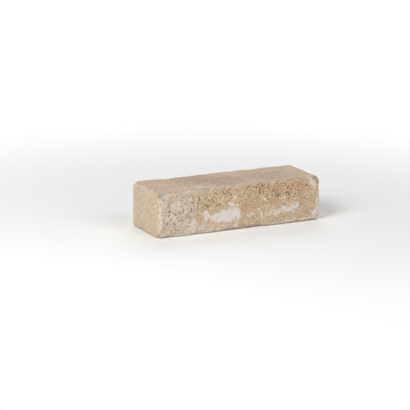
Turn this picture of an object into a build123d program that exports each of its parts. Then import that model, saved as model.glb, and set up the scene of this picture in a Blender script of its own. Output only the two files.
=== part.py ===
"""Stacking block for dry-laid garden walls: one solid of pressed concrete, tumbled in a drum.

The length runs along X, the width along Y and the height along Z, in millimetres.
The origin is the middle of the lower bed face, and the weathered show face looks towards -Y.
"""

import os

from build123d import *

# Size of the block as it leaves the mould
length = 400
width = 130
height = 100

# Rounding that the drum leaves on the four long arrises, at even stations from the left end
# to the right end
front_foot_wear = (6, 5, 7, 12, 9, 7, 10)
front_head_wear = (14, 8, 6, 6, 5, 5, 8)
back_head_wear = (9, 8, 11, 8, 7, 10, 9)
back_foot_wear = (8, 9, 6, 7, 11, 8, 7)

# What each flat face keeps back from the full curve of the arrises beside it
face_rub = 0.5

# Rounding of the upright arrises at the four corners of the plan
front_left_arris = 6
front_right_arris = 7
back_right_arris = 10
back_left_arris = 8

# Rounding of the short arrises across the width, seen from the front
left_foot_arris = 5
right_foot_arris = 9
right_head_arris = 12
left_head_arris = 11

# Corners knocked off in the drum: side of the block along X, Y and Z, then how far the break
# runs from the square corner along the length, across the width and up the height
knocked_corners = (
    (-1, -1, 1, 16, 15, 18),
    (-1, 1, 1, 13, 18, 12),
    (-1, 1, -1, 15, 14, 13),
    (-1, -1, -1, 11, 11, 11),
    (1, -1, 1, 23, 15, 25),
    (1, 1, 1, 18, 24, 19),
    (1, 1, -1, 17, 16, 18),
    (1, -1, -1, 16, 14, 17),
)

# Shells spalled from the arrises, from wide shallow ones to flakes. The place is in shares of
# the length, the width and the height from the middle of the block, and on an arris two of them
# are a half. Then come the depth in from the square arris and the radius of the shell.
spalls = (
    (-0.420, -0.5, -0.5, 4.2, 26),
    (-0.270, -0.5, -0.5, 3.8, 34),
    (-0.075, -0.5, -0.5, 5.8, 24),
    (0.095, -0.5, -0.5, 7, 70),
    (0.350, -0.5, -0.5, 5, 30),
    (-0.350, -0.5, 0.5, 4.9, 28),
    (-0.200, -0.5, 0.5, 4.4, 40),
    (-0.095, -0.5, 0.5, 4.4, 22),
    (0.160, -0.5, 0.5, 3.9, 30),
    (0.330, -0.5, 0.5, 3.6, 42),
    (-0.295, 0.5, 0.5, 8, 60),
    (-0.060, 0.5, 0.5, 6.2, 26),
    (0.110, 0.5, 0.5, 4.8, 38),
    (0.230, 0.5, 0.5, 7, 45),
    (0.400, 0.5, 0.5, 6.2, 30),
    (-0.370, 0.5, -0.5, 5.8, 30),
    (-0.100, 0.5, -0.5, 8, 65),
    (0.120, 0.5, -0.5, 6.4, 24),
    (0.295, 0.5, -0.5, 7, 40),
    (0.420, 0.5, -0.5, 5.2, 28),
    (-0.5, -0.5, -0.16, 3.9, 24),
    (-0.5, -0.5, 0.18, 3.7, 30),
    (0.5, -0.5, 0.10, 5.2, 16),
    (0.5, -0.5, 0.26, 5.8, 30),
    (0.5, 0.5, -0.05, 6.6, 34),
    (-0.5, 0.5, 0.02, 5.6, 26),
    (0.5, -0.14, 0.5, 7.6, 36),
    (0.5, 0.20, -0.5, 6.2, 30),
    (-0.5, 0.16, -0.5, 4.2, 34),
)

# Voids in the show face where the largest grains have fallen out: place along X and up Z in
# shares of the length and the height from the middle, radius of the mouth and depth
voids = (
    (-0.460, -0.29, 3.0, 1.8),
    (-0.400, -0.21, 3.0, 2.0),
    (-0.325, -0.31, 3.4, 1.6),
    (-0.258, 0.13, 2.6, 1.8),
    (-0.260, 0.06, 3.0, 2.2),
    (-0.204, 0.10, 3.6, 2.4),
    (-0.193, 0.08, 3.2, 2.2),
    (-0.119, 0.24, 3.4, 1.8),
    (0.008, 0.43, 2.6, 1.8),
    (0.010, 0.35, 3.0, 2.2),
    (0.016, 0.22, 3.0, 2.0),
    (0.165, 0.16, 3.6, 2.4),
    (0.235, 0.155, 3.6, 2.4),
    (0.262, 0.41, 2.6, 1.6),
    (0.266, 0.36, 2.6, 1.8),
    (0.280, 0.21, 3.2, 1.8),
    (0.408, 0.32, 3.0, 1.8),
)


def worn_outline(run, low, high, *arrises):
    """A rectangle across the local Y axis, its corners rounded from lower left, anticlockwise."""
    corners = ((-run / 2, low), (run / 2, low), (run / 2, high), (-run / 2, high))
    with BuildSketch() as outline:
        with BuildLine():
            FilletPolyline(*corners, radius=arrises, close=True)
        make_face()
    return outline.sketch


def knock_off(side_x, side_y, side_z, along, across, up):
    """Breaks one corner off along the plane through a point on each of its three edges."""
    corner = Vector(side_x * length / 2, side_y * width / 2, height if side_z > 0 else 0)
    break_plane = Plane(
        origin=corner - Vector(side_x * along, 0, 0),
        z_dir=(side_x / along, side_y / across, side_z / up),
    )
    split(bisect_by=break_plane, keep=Keep.BOTTOM)


def spall(along, across, up, depth, shell):
    """Scoops a shell from a place on a square arris, inward along the diagonal of its corner."""
    arris = Vector(along * length, across * width, (up + 0.5) * height)
    sides = [share if abs(share) == 0.5 else 0 for share in (along, across, up)]
    with Locations(arris + Vector(*sides).normalized() * (shell - depth)):
        Sphere(shell, mode=Mode.SUBTRACT)


def hollow(along, up, mouth, depth):
    """Sinks a bowl of the given depth in the show face, as wide as its mouth where they meet."""
    bowl = (mouth**2 + depth**2) / (2 * depth)
    with Locations((along * length, depth - bowl - width / 2, (up + 0.5) * height)):
        Sphere(bowl, mode=Mode.SUBTRACT)


with BuildPart() as block:
    # Sections along the length, a little full, whose four roundings swell and fade
    stations = list(zip(front_foot_wear, back_foot_wear, back_head_wear, front_head_wear))
    for number, wear in enumerate(stations):
        place = length * (number / (len(stations) - 1) - 0.5)
        with BuildSketch(Plane.YZ.offset(place)):
            add(worn_outline(width + 2 * face_rub, -face_rub, height + face_rub, *wear))
    loft()

    # The view from the front, which also planes the two beds
    with BuildSketch(Plane.XZ.offset(-width)):
        add(
            worn_outline(
                length, 0, height, left_foot_arris, right_foot_arris, right_head_arris, left_head_arris
            )
        )
    extrude(amount=2 * width, mode=Mode.INTERSECT)

    # The plan, which also planes the front and the back
    with BuildSketch(Plane.XY.offset(-height)):
        add(
            worn_outline(
                length,
                -width / 2,
                width / 2,
                front_left_arris,
                front_right_arris,
                back_right_arris,
                back_left_arris,
            )
        )
    extrude(amount=3 * height, mode=Mode.INTERSECT)

    for corner in knocked_corners:
        knock_off(*corner)
    for shell in spalls:
        spall(*shell)
    for void in voids:
        hollow(*void)

block.part.label = "block"

os.makedirs("parts", exist_ok=True)
export_step(block.part, "parts/block.step")
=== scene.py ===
"""Looks of one tumbled concrete stacking block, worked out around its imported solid.

Lengths are in metres. X runs along the block, the weathered show face looks towards -Y and the
lower bed lies at Z = 0. The solid gives the form. What the mould, the drum and the weather left
on it is worked out here as relief of the mesh, as masks stored on the mesh, and as a finish.
"""

from __future__ import annotations

import itertools
import logging
import math
from dataclasses import dataclass
from enum import Enum

import bpy
import numpy as np
from mathutils import Matrix, Vector
from numpy.typing import NDArray


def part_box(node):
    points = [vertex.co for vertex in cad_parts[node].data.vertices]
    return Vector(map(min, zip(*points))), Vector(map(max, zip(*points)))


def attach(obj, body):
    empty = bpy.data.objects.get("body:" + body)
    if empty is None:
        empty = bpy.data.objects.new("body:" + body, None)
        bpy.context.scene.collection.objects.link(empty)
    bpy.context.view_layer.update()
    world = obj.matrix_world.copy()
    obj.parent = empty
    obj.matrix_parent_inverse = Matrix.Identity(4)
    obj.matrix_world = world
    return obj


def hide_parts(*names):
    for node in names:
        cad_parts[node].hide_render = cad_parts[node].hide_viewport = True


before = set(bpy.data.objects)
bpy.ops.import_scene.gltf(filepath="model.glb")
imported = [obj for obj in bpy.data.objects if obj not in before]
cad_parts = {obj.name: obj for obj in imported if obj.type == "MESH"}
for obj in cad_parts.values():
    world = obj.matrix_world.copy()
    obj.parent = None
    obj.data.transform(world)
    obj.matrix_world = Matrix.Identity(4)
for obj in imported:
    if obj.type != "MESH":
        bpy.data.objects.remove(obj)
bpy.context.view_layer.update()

LOG = logging.getLogger("stacking_block")
MILLIMETRE = 0.001
LATTICE_TURN = np.array(Matrix.Rotation(math.radians(67.0), 3, Vector((1.0, 2.0, 3.0))))

# Odd factors for the three indices of a cell, shifts and factors that stir their sum, the step
# and start of a seed, and how many bits of the result are used
CELL_FACTORS = (0x9E3779B97F4A7C15, 0xC2B2AE3D27D4EB4F, 0x165667B19E3779F9)
STIRRINGS = ((29, 0xBF58476D1CE4E5B9), (32, 0x94D049BB133111EB))
SEED_STEP, SEED_START = 7919, 104729
RANDOM_BITS = 24

Floats = NDArray[np.float64]
Whole = NDArray[np.int64]
Triple = tuple[float, float, float]
Row = tuple[float, float, float, float, float]
Colour = tuple[float, float, float, float]
Socket = bpy.types.NodeSocket
Feeds = dict[str | int, object]
WHITE: Colour = (1.0, 1.0, 1.0, 1.0)


def screen_colour(red: int, green: int, blue: int) -> Colour:
    """Turns a colour as a screen shows it into the linear one that shaders take.

    Each channel c from 0 to 1 becomes c / 12.92 where dark and ((c + 0.055) / 1.055) ** 2.4
    elsewhere.

    Args:
        red: Red channel, 0 to 255.
        green: Green channel, 0 to 255.
        blue: Blue channel, 0 to 255.

    Returns:
        The linear colour with an alpha of 1.
    """
    channels = np.array([red, green, blue]) / 255
    linear = np.where(channels <= 0.04045, channels / 12.92, ((channels + 0.055) / 1.055) ** 2.4)
    return (*(float(c) for c in linear), 1.0)


def ease(low: float | Floats, high: float | Floats, value: Floats) -> Floats:
    """Runs smoothly from 0 at low to 1 at high, as 3 t^2 - 2 t^3, whichever of them is larger."""
    t = np.clip((value - low) / (high - low), 0.0, 1.0)
    return t * t * (3.0 - 2.0 * t)


def cell_random(cells: Whole, seed: int) -> Floats:
    """Gives each cell of a lattice a fixed number.

    The three indices are multiplied by odd factors and added to a multiple of the seed. The sum
    is stirred twice by a shift, an exclusive or and a multiplication, and its highest bits make
    the number.

    Args:
        cells: Cell indices, with the three axes last.
        seed: Picks one of many independent sets of numbers.

    Returns:
        One number from 0 to 1 for each cell.
    """
    index = cells.astype(np.uint64)
    mixed = np.uint64(seed * SEED_STEP + SEED_START)
    for axis, factor in enumerate(CELL_FACTORS):
        mixed = mixed + index[..., axis] * np.uint64(factor)
    for shift, factor in STIRRINGS:
        mixed = (mixed ^ (mixed >> np.uint64(shift))) * np.uint64(factor)
    return (mixed >> np.uint64(64 - RANDOM_BITS)).astype(np.float64) / (1 << RANDOM_BITS)


def direction(azimuth: float, elevation: float) -> Vector:
    """Gives the unit vector that points from the block to a place around it.

    Args:
        azimuth: Angle in degrees from the front towards the right.
        elevation: Angle in degrees above the level.

    Returns:
        The vector (sin a cos e, -cos a cos e, sin e).
    """
    a, e = math.radians(azimuth), math.radians(elevation)
    return Vector((math.sin(a) * math.cos(e), -math.cos(a) * math.cos(e), math.sin(e)))


def swell(points: Floats, wavelength: float, seed: int, octaves: int = 1) -> Floats:
    """Evaluates smooth random swells from -1 to 1.

    Each octave turns the lattice once more, so that its rows never line up with a face, and
    blends the random numbers of the eight corners of a point's cell, with weights that follow
    6 t^5 - 15 t^4 + 10 t^3. Every further octave is half as long and half as high.

    Args:
        points: Places, one in each row.
        wavelength: Side of the coarsest cell.
        seed: Picks the pattern.
        octaves: How many sizes of swell are added up.

    Returns:
        The height of the swells at each place.
    """
    total = np.zeros(len(points))
    reach = 0.0
    turned = points
    for octave in range(octaves):
        turned = turned @ LATTICE_TURN
        scaled = turned / (wavelength / 2**octave)
        cell = np.floor(scaled).astype(np.int64)
        t = scaled - cell
        t = t * t * t * (t * (6.0 * t - 15.0) + 10.0)
        height = np.zeros(len(points))
        for corner in itertools.product((0, 1), repeat=3):
            weight = np.where(corner, t, 1.0 - t).prod(axis=1)
            height += weight * cell_random(cell + np.array(corner), seed + 31 * octave)
        total += (2.0 * height - 1.0) / 2**octave
        reach += 1.0 / 2**octave
    return total / reach


def raised_swell(points: Floats, wavelength: float, seed: int, octaves: int) -> Floats:
    """Evaluates the same swells, from 0 to 1."""
    return 0.5 + 0.5 * swell(points, wavelength, seed, octaves)


@dataclass(frozen=True)
class Bowls:
    """Bowls scattered one to a cell through space.

    Attributes:
        spacing: Side of a cell.
        share: Share of the cells that hold a bowl.
        radii: Smallest and largest radius.
        seed: Picks the pattern.
    """

    spacing: float
    share: float
    radii: tuple[float, float]
    seed: int

    def depth(self, points: Floats) -> Floats:
        """Evaluates the bowls.

        A bowl's value is 1 - (d / r)^2, with d the distance from its middle and r its radius,
        and never under 0. Where bowls meet the deeper one counts.

        Args:
            points: Places, one in each row.

        Returns:
            The depth of the bowls at each place, from 0 to 1.
        """
        home = np.floor(points / self.spacing).astype(np.int64)
        smallest, largest = self.radii
        deepest = np.zeros(len(points))
        for offset in itertools.product((-1, 0, 1), repeat=3):
            cell = home + np.array(offset)
            jitter = np.stack([cell_random(cell, self.seed + n) for n in range(3)], axis=1)
            radius = smallest + (largest - smallest) * cell_random(cell, self.seed + 3) ** 2
            distance = np.linalg.norm(points - (cell + jitter) * self.spacing, axis=1)
            bowl = np.clip(1.0 - (distance / radius) ** 2, 0.0, 1.0)
            bowl[cell_random(cell, self.seed + 4) > self.share] = 0.0
            deepest = np.maximum(deepest, bowl)
        return deepest


class Mask(Enum):
    """The masks that the block's mesh carries, one number from 0 to 1 at each vertex."""

    OPEN = "open_texture"
    PIT = "pit_depth"
    CREST = "grain_crest"
    BROKEN = "broken_face"
    RUB = "arris_rub"
    CHIP = "arris_chip"
    LIME = "lime_bloom"
    # Bare cement, and painted shade along the foot of the show face
    GREY = "grey_cement_and_foot_shade"
    # Ochre clouds, and on the upper bed brown stains that are partly painted shade
    OCHRE_AND_BED_SHADE = "ochre_cloud_and_bed_shade"
    WARM = "warm_sand"
    BED = "bed_face"
    END = "end_face"


class Side(Enum):
    """The sides that carry patches, with what a patch has along the axis that is square to them.

    That is the number of the axis, the place of the patch's middle and half of its depth, in
    millimetres.
    """

    SHOW_FACE = (1, -65.0, 20.0)
    LEFT_END = (0, -200.0, 10.0)
    UPPER_BED = (2, 100.0, 10.0)


@dataclass(frozen=True)
class Patch:
    """A patch that weather or the mix left on the surface, bounded by an ellipsoid.

    Attributes:
        middle: The middle of the ellipsoid, in millimetres.
        half: Half of its size along X, Y and Z, in millimetres.
        strength: How far it covers what is under it, from 0 to 1.
    """

    middle: Triple
    half: Triple
    strength: float

    def cover(self, points: Floats) -> Floats:
        """Gives the patch's cover, which falls off smoothly about the ellipsoid's surface.

        With s the distance from the middle in half sizes, the cover is the strength up to an s
        of 0.6 and nothing from an s of 1.35.

        Args:
            points: Places, one in each row.

        Returns:
            The cover at each place.
        """
        middle, half = np.array(self.middle) * MILLIMETRE, np.array(self.half) * MILLIMETRE
        s = np.linalg.norm((points - middle) / half, axis=1)
        return self.strength * ease(1.35, 0.6, s)


def patches_on(side: Side, *rows: Row) -> list[Patch]:
    """Places patches on a side of the block.

    A row holds the middle of a patch along the side's two axes, in the order of X, Y and Z, then
    half of its sizes along them, all in millimetres, and its strength.

    Args:
        side: The side that the patches lie on.
        rows: Five numbers for each patch.

    Returns:
        The patches.
    """
    axis, place, half_depth = side.value
    patches = []
    for first, second, half_first, half_second, strength in rows:
        middle, half = [first, second], [half_first, half_second]
        middle.insert(axis, place)
        half.insert(axis, half_depth)
        patches.append(Patch(tuple(middle), tuple(half), strength))
    return patches


def joint_cover(patches: tuple[Patch, ...], points: Floats) -> Floats:
    """Gives the largest cover that any of the patches has at each place."""
    return np.max([patch.cover(points) for patch in patches], axis=0)


# Lime that water has drawn out of the concrete, with what is left of it on the corners
LIME_PATCHES = (
    *patches_on(
        Side.SHOW_FACE,
        (-30, 36.2, 29, 16, 1), (-50, 32.9, 22, 12, 1), (-10.5, 42, 10.5, 10, 1),
        (-69, 36.7, 10, 4.5, 0.8), (-83, 38.5, 8.5, 13, 0.8), (-22, 59.3, 9, 4, 0.8),
        (-8, 55.5, 8, 2.2, 0.6), (-30, 76.2, 7, 6, 0.5), (-15, 74.4, 6, 5, 0.5),
        (60, 61, 7, 5, 0.65), (108, 60.5, 3.5, 4.5, 0.95), (104, 63, 3, 2.5, 0.7),
        (52, 30, 4, 10, 0.54), (45, 40, 4, 11, 0.4), (64, 33, 4, 9, 0.5),
        (25.5, 29.9, 11, 7, 0.4), (88.2, 29.8, 20, 7, 0.62), (117.6, 34.2, 24, 8, 0.72),
        (136, 41.2, 11, 8, 0.78), (-116, 21.1, 16, 16, 0.5), (-92, 13.4, 14, 8, 0.4),
        (30, 8, 5, 7, 0.6), (187, 18.2, 9, 8, 0.8), (172, 95, 7, 6, 0.6),
        (178, 87, 7, 8, 0.65), (185, 77, 6, 9, 0.6), (193, 42.2, 6, 26, 0.6),
        (-151, 77, 7, 14, 0.5), (-128, 28, 8, 12, 0.5), (-186, 63, 8, 20, 0.38),
        (-192.2, 62, 2.8, 26, 0.62), (-192.2, 26, 2.8, 24, 0.62), (-40, 14, 60, 14, 0.24),
        (-165, 45, 20, 8, 0.4), (150, 6.8, 42, 2.8, 0.72), (50, 5.8, 50, 2.4, 0.5),
    ),
    *patches_on(
        Side.LEFT_END,
        (-25, 57, 5, 4, 0.5), (-40, 58, 4, 3, 0.4), (-38, 35, 3, 12, 0.3),
        (-52, 60, 4, 14, 0.3), (-6, 97, 54, 3, 0.27),
    ),
    *patches_on(
        Side.UPPER_BED,
        (-186, -34, 11, 30, 0.17), (-90, -46, 9, 5, 0.5), (-75, -53, 9, 4, 0.5),
        (-122, 24, 10, 6, 0.4), (-58, -14, 12, 6, 0.3),
    ),
)

# Clouds of the ochre pigment on the faces, and the brown stains of the upper bed, which are partly
# painted shade of a block standing on it
OCHRE_AND_BED_SHADE_PATCHES = (
    *patches_on(
        Side.SHOW_FACE,
        (15.7, 52.8, 24, 15, 1), (43.1, 56.2, 30, 11, 0.6), (-1, 64.6, 9, 6, 0.6),
        (76.4, 48.6, 26, 11, 0.5), (45.1, 39.2, 8, 12, 0.6), (48, 20.3, 5, 13, 0.4),
        (-101, 34.3, 10, 11, 0.6), (-76, 21.6, 9, 7, 0.5), (-14, 29.4, 3, 3, 0.9),
        (-13, 51.5, 15, 3, 0.7), (171, 30.2, 12, 13, 0.5), (161, 54.2, 16, 8, 0.4),
        (105, 86, 72, 18, 0.5), (160, 82, 14, 14, 0.62),
    ),
    *patches_on(
        Side.LEFT_END,
        (-47, 77, 9, 3.5, 0.55), (-32, 62, 4, 11, 0.55), (54, 68, 6, 9, 0.7),
        (39, 62, 10, 4, 0.5), (38, 84, 9, 5, 0.3),
    ),
    # Brown stains of the upper bed, partly painted shade of a block standing on it
    *patches_on(
        Side.UPPER_BED,
        (-18, 8, 14, 8, 0.5), (-74, 20, 66, 42, 0.74), (-15, -12, 50, 38, 0.85),
        (-64, 10, 18, 42, 1), (95, -8, 60, 36, 0.5), (-112, 12, 14, 9, 0.3),
        (-10, -40, 9, 6, 0.3),
    ),
)

# Bare grey cement, first on the facet of the knocked corner
GREY_PATCHES = (
    Patch((-193.5, -62.0, 93.5), (6.2, 6.0, 7.0), strength=1.4),
    *patches_on(
        Side.SHOW_FACE,
        (-85, 84.5, 3, 3, 0.7), (150, 60, 4, 2.6, 0.5), (-170, 51, 4, 3, 0.5),
        (-162, 33, 3, 4, 0.5), (94.1, 40.9, 3, 3, 0.4),
    ),
    *patches_on(
        Side.LEFT_END,
        (38, 66, 4, 1.6, 0.5), (22, 20, 4, 1.6, 0.5), (32, 50, 3, 2, 0.5),
    ),
    *patches_on(
        Side.UPPER_BED,
        (-184, -22, 15, 44, 0.32),
    ),
)

# Voids in the show face that are too slight for the solid
SLIGHT_VOIDS = (
    *patches_on(
        Side.SHOW_FACE,
        (-86, 62.5, 2.5, 2, 0.8), (-104, 67.2, 1.6, 2.5, 0.7), (-94, 60.3, 1.8, 2, 0.8),
        (-172, 59, 3, 1.8, 0.7), (-186, 85, 2, 2.5, 0.8), (-141, 93, 2.5, 1.8, 0.7),
        (-158, 49, 1.8, 2.6, 0.8), (-170, 41, 1.8, 2.4, 0.8), (-124, 20, 3, 1.8, 0.7),
        (-40, 95, 2.2, 2, 0.9), (-27, 92, 2, 1.8, 0.8), (-67, 73.7, 1.8, 2.2, 0.7),
        (118.6, 71.2, 2.4, 1.6, 0.7), (107.8, 18.1, 1.4, 1.6, 0.7), (39.2, 13.1, 1.3, 1.4, 0.6),
        (172, 52.2, 1.4, 1.8, 0.6), (177, 29.2, 1.6, 1.6, 0.6), (9, 9, 3, 1.8, 0.8),
        (14, 5, 1.6, 1.4, 0.7), (163, 57, 1.4, 1.6, 0.7), (151, 41, 1.3, 1.5, 0.6),
        (161, 35, 1.6, 1.3, 0.7), (168, 27, 1.4, 1.7, 0.7), (157, 17, 1.5, 1.3, 0.6),
        (172, 19, 1.3, 1.5, 0.6), (96, 45, 1.4, 1.2, 0.5), (131, 20, 1.2, 1.5, 0.5),
        (-60, 12, 1.3, 1.4, 0.5),
    ),
)

# Places on the show face that have opened less than the rest
CLOSER_PATCHES = (
    *patches_on(
        Side.SHOW_FACE,
        (150, 88, 30, 12, 0.2), (118, 70, 12, 8, 0.2), (-152, 78, 16, 14, 0.25),
        (-178, 50, 14, 16, 0.2), (-189, 50, 8, 50, 0.35),
    ),
)

# Places along the show face, and the height there below which it has stayed dense
DENSE_ALONG = np.array([-135, -104, -60, -10, 25, 60, 100, 150, 178, 200]) * MILLIMETRE
DENSE_HEIGHT = np.array([0, 44, 52, 61, 69, 63, 58, 64, 80, 92]) * MILLIMETRE


@dataclass(frozen=True)
class BoxLattice:
    """A grid of cells over the six sides of a box, closed along its edges.

    Attributes:
        low: Lowest corner of the box.
        high: Highest corner of the box.
        cells: How many cells there are along X, Y and Z.
        crowding: How much the cells draw towards the box's edges along each axis, 0 to 1.
    """

    low: Vector
    high: Vector
    cells: tuple[int, int, int]
    crowding: Triple

    def ticks(self, axis: int) -> Floats:
        """Gives the grid's places along an axis.

        With s from -1 to 1 in even steps and c the crowding, a place is
        (1 - c) s + c sin(90 degrees s), stretched over the box.

        Args:
            axis: 0 for X, 1 for Y or 2 for Z.

        Returns:
            The places, from the box's low side to its high side.
        """
        s = np.linspace(-1.0, 1.0, self.cells[axis] + 1)
        eased = (1.0 - self.crowding[axis]) * s + self.crowding[axis] * np.sin(s * math.pi / 2)
        middle = (self.low[axis] + self.high[axis]) / 2
        return middle + eased * (self.high[axis] - self.low[axis]) / 2

    def side(self, axis: int, high: bool) -> Whole:
        """Lists the quads of one side by the lattice numbers of their corners.

        A corner at i, j, k along X, Y and Z has the number i + nx (j + ny k), with nx and ny the
        corners in a row along X and along Y.

        Args:
            axis: The axis that the side is square to.
            high: Whether it is the side at the box's high end.

        Returns:
            Four numbers for each quad, anticlockwise seen from outside.
        """
        across, along = (axis + 1) % 3, (axis + 2) % 3
        index = [None, None, None]
        index[across], index[along] = np.meshgrid(
            np.arange(self.cells[across] + 1), np.arange(self.cells[along] + 1), indexing="ij"
        )
        index[axis] = np.full_like(index[across], self.cells[axis] if high else 0)
        nx, ny = self.cells[0] + 1, self.cells[1] + 1
        number = index[0] + nx * (index[1] + ny * index[2])
        corners = [number[:-1, :-1], number[1:, :-1], number[1:, 1:], number[:-1, 1:]]
        quads = np.stack([c.ravel() for c in corners], axis=1)
        return quads if high else quads[:, ::-1]

    def build(self) -> tuple[Floats, Whole]:
        """Joins the six sides into one closed surface.

        Returns:
            The corner positions and, for each quad, the rows of its four corners.
        """
        quads = np.concatenate([self.side(a, h) for a in range(3) for h in (False, True)])
        numbers, rows = np.unique(quads, return_inverse=True)
        nx, ny = self.cells[0] + 1, self.cells[1] + 1
        index = (numbers % nx, numbers // nx % ny, numbers // (nx * ny))
        positions = np.stack([self.ticks(a)[index[a]] for a in range(3)], axis=1)
        return positions, rows.reshape(-1, 4)


def link_object(name: str, data: bpy.types.ID) -> bpy.types.Object:
    """Puts a mesh, a camera or a lamp into a new object of the scene.

    Args:
        name: The object's name.
        data: What the object shows.

    Returns:
        The new object, at the origin.
    """
    item = bpy.data.objects.new(name, data)
    bpy.context.scene.collection.objects.link(item)
    return item


def mesh_object(name: str, positions: Floats, quads: Whole) -> bpy.types.Object:
    """Puts a surface of quads into a new object at the origin.

    Args:
        name: The object's name.
        positions: One corner in each row.
        quads: The rows of each quad's four corners.

    Returns:
        The new object, linked to the scene.
    """
    mesh = bpy.data.meshes.new(name)
    mesh.vertices.add(len(positions))
    mesh.vertices.foreach_set("co", positions.astype(np.float32).ravel())
    mesh.loops.add(quads.size)
    mesh.loops.foreach_set("vertex_index", quads.astype(np.int32).ravel())
    mesh.polygons.add(len(quads))
    mesh.polygons.foreach_set("loop_start", np.arange(0, quads.size, 4, dtype=np.int32))
    mesh.update(calc_edges=True)
    mesh.validate()
    mesh.shade_smooth()
    return link_object(name, mesh)


def read_vectors(items: bpy.types.bpy_prop_collection, name: str) -> Floats:
    """Reads one vector from each item of a mesh.

    Args:
        items: The mesh's vertices or its vertex normals.
        name: The name of the vector there.

    Returns:
        One vector in each row.
    """
    flat = np.empty(len(items) * 3, np.float32)
    items.foreach_get(name, flat)
    return flat.reshape(-1, 3).astype(np.float64)


def move_vertices(mesh: bpy.types.Mesh, positions: Floats) -> None:
    """Moves a mesh's vertices to new places, one in each row."""
    mesh.vertices.foreach_set("co", positions.astype(np.float32).ravel())
    mesh.update()


@dataclass(frozen=True)
class Aspect:
    """How far each point of the skin belongs to each kind of face, from 0 to 1.

    Attributes:
        show: The front, which looks towards -Y.
        back: The face that looks towards +Y.
        bed: The two faces that lie on other blocks.
        end: The two ends.
        rub: The arrises, where the drum has rubbed the skin off.
        broken: Corners knocked off and arrises spalled or worn far back.
        sunk: Depth in metres behind the flat of the show face, in the solid's own voids.
    """

    show: Floats
    back: Floats
    bed: Floats
    end: Floats
    rub: Floats
    broken: Floats
    sunk: Floats

    @classmethod
    def of(cls, points: Floats, normals: Floats, low: Floats, high: Floats, reach: float) -> Aspect:
        """Works the aspects out.

        A face's part follows the part of the normal that points its way. Right of the middle the
        show face reaches further over its rounded head, and near the left end the upper bed and
        the end fade within less of their roundings. The flat of the show face, with the solid's
        own voids in it, belongs to the show face whichever way the normal points.

        The distance from an arris is the second smallest of a point's distances from the box's
        three pairs of faces, and the rub falls off with its square, over a reach that wanders.
        The skin is broken where even the smallest distance is more than a rounding leaves, and
        where the normal leans to all three axes.

        Args:
            points: Places on the skin.
            normals: Its outward normals there.
            low: Lowest corner of the solid.
            high: Highest corner of the solid.
            reach: How far from an arris its rubbing shows.

        Returns:
            The aspects.
        """
        near = np.sort(np.minimum(points - low, high - points), axis=1)
        wander = 1.0 + 0.6 * swell(points, 0.030, seed=11, octaves=3)
        lean = np.abs(normals).min(axis=1) + 0.06 * swell(points, 0.006, seed=12, octaves=2)
        worn = near[:, 0] + 0.0006 * swell(points, 0.007, seed=13, octaves=2)
        depth = points[:, 1] - low[1]
        looks_up = normals[:, 2] > 0.0
        flat = ease(0.009, 0.013, near[:, 1]) * (depth < 0.004)
        over = ease(-0.02, 0.03, points[:, 0]) * (depth < 0.020) * looks_up
        left = ease(0.030, 0.015, points[:, 0] - low[0]) * looks_up
        show_from = 0.30 - 0.25 * over
        bed_from = 0.50 + 0.32 * over + 0.08 * left
        bed_full = bed_from + 0.36 - 0.20 * over - 0.22 * left
        end_from = 0.60 + 0.08 * left
        end_full = end_from + 0.20 - 0.09 * left
        return cls(
            show=np.maximum(ease(show_from, show_from + 0.35, -normals[:, 1]), flat),
            back=ease(0.55, 0.85, normals[:, 1]),
            bed=ease(bed_from, bed_full, np.abs(normals[:, 2])) * (1.0 - flat),
            end=ease(end_from, end_full, np.abs(normals[:, 0])) * (1.0 - flat),
            rub=np.exp(-((near[:, 1] / (reach * wander)) ** 2)),
            broken=np.maximum(ease(0.20, 0.38, lean), ease(0.0024, 0.0037, worn) * (1.0 - flat)),
            sunk=depth * flat,
        )


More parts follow.
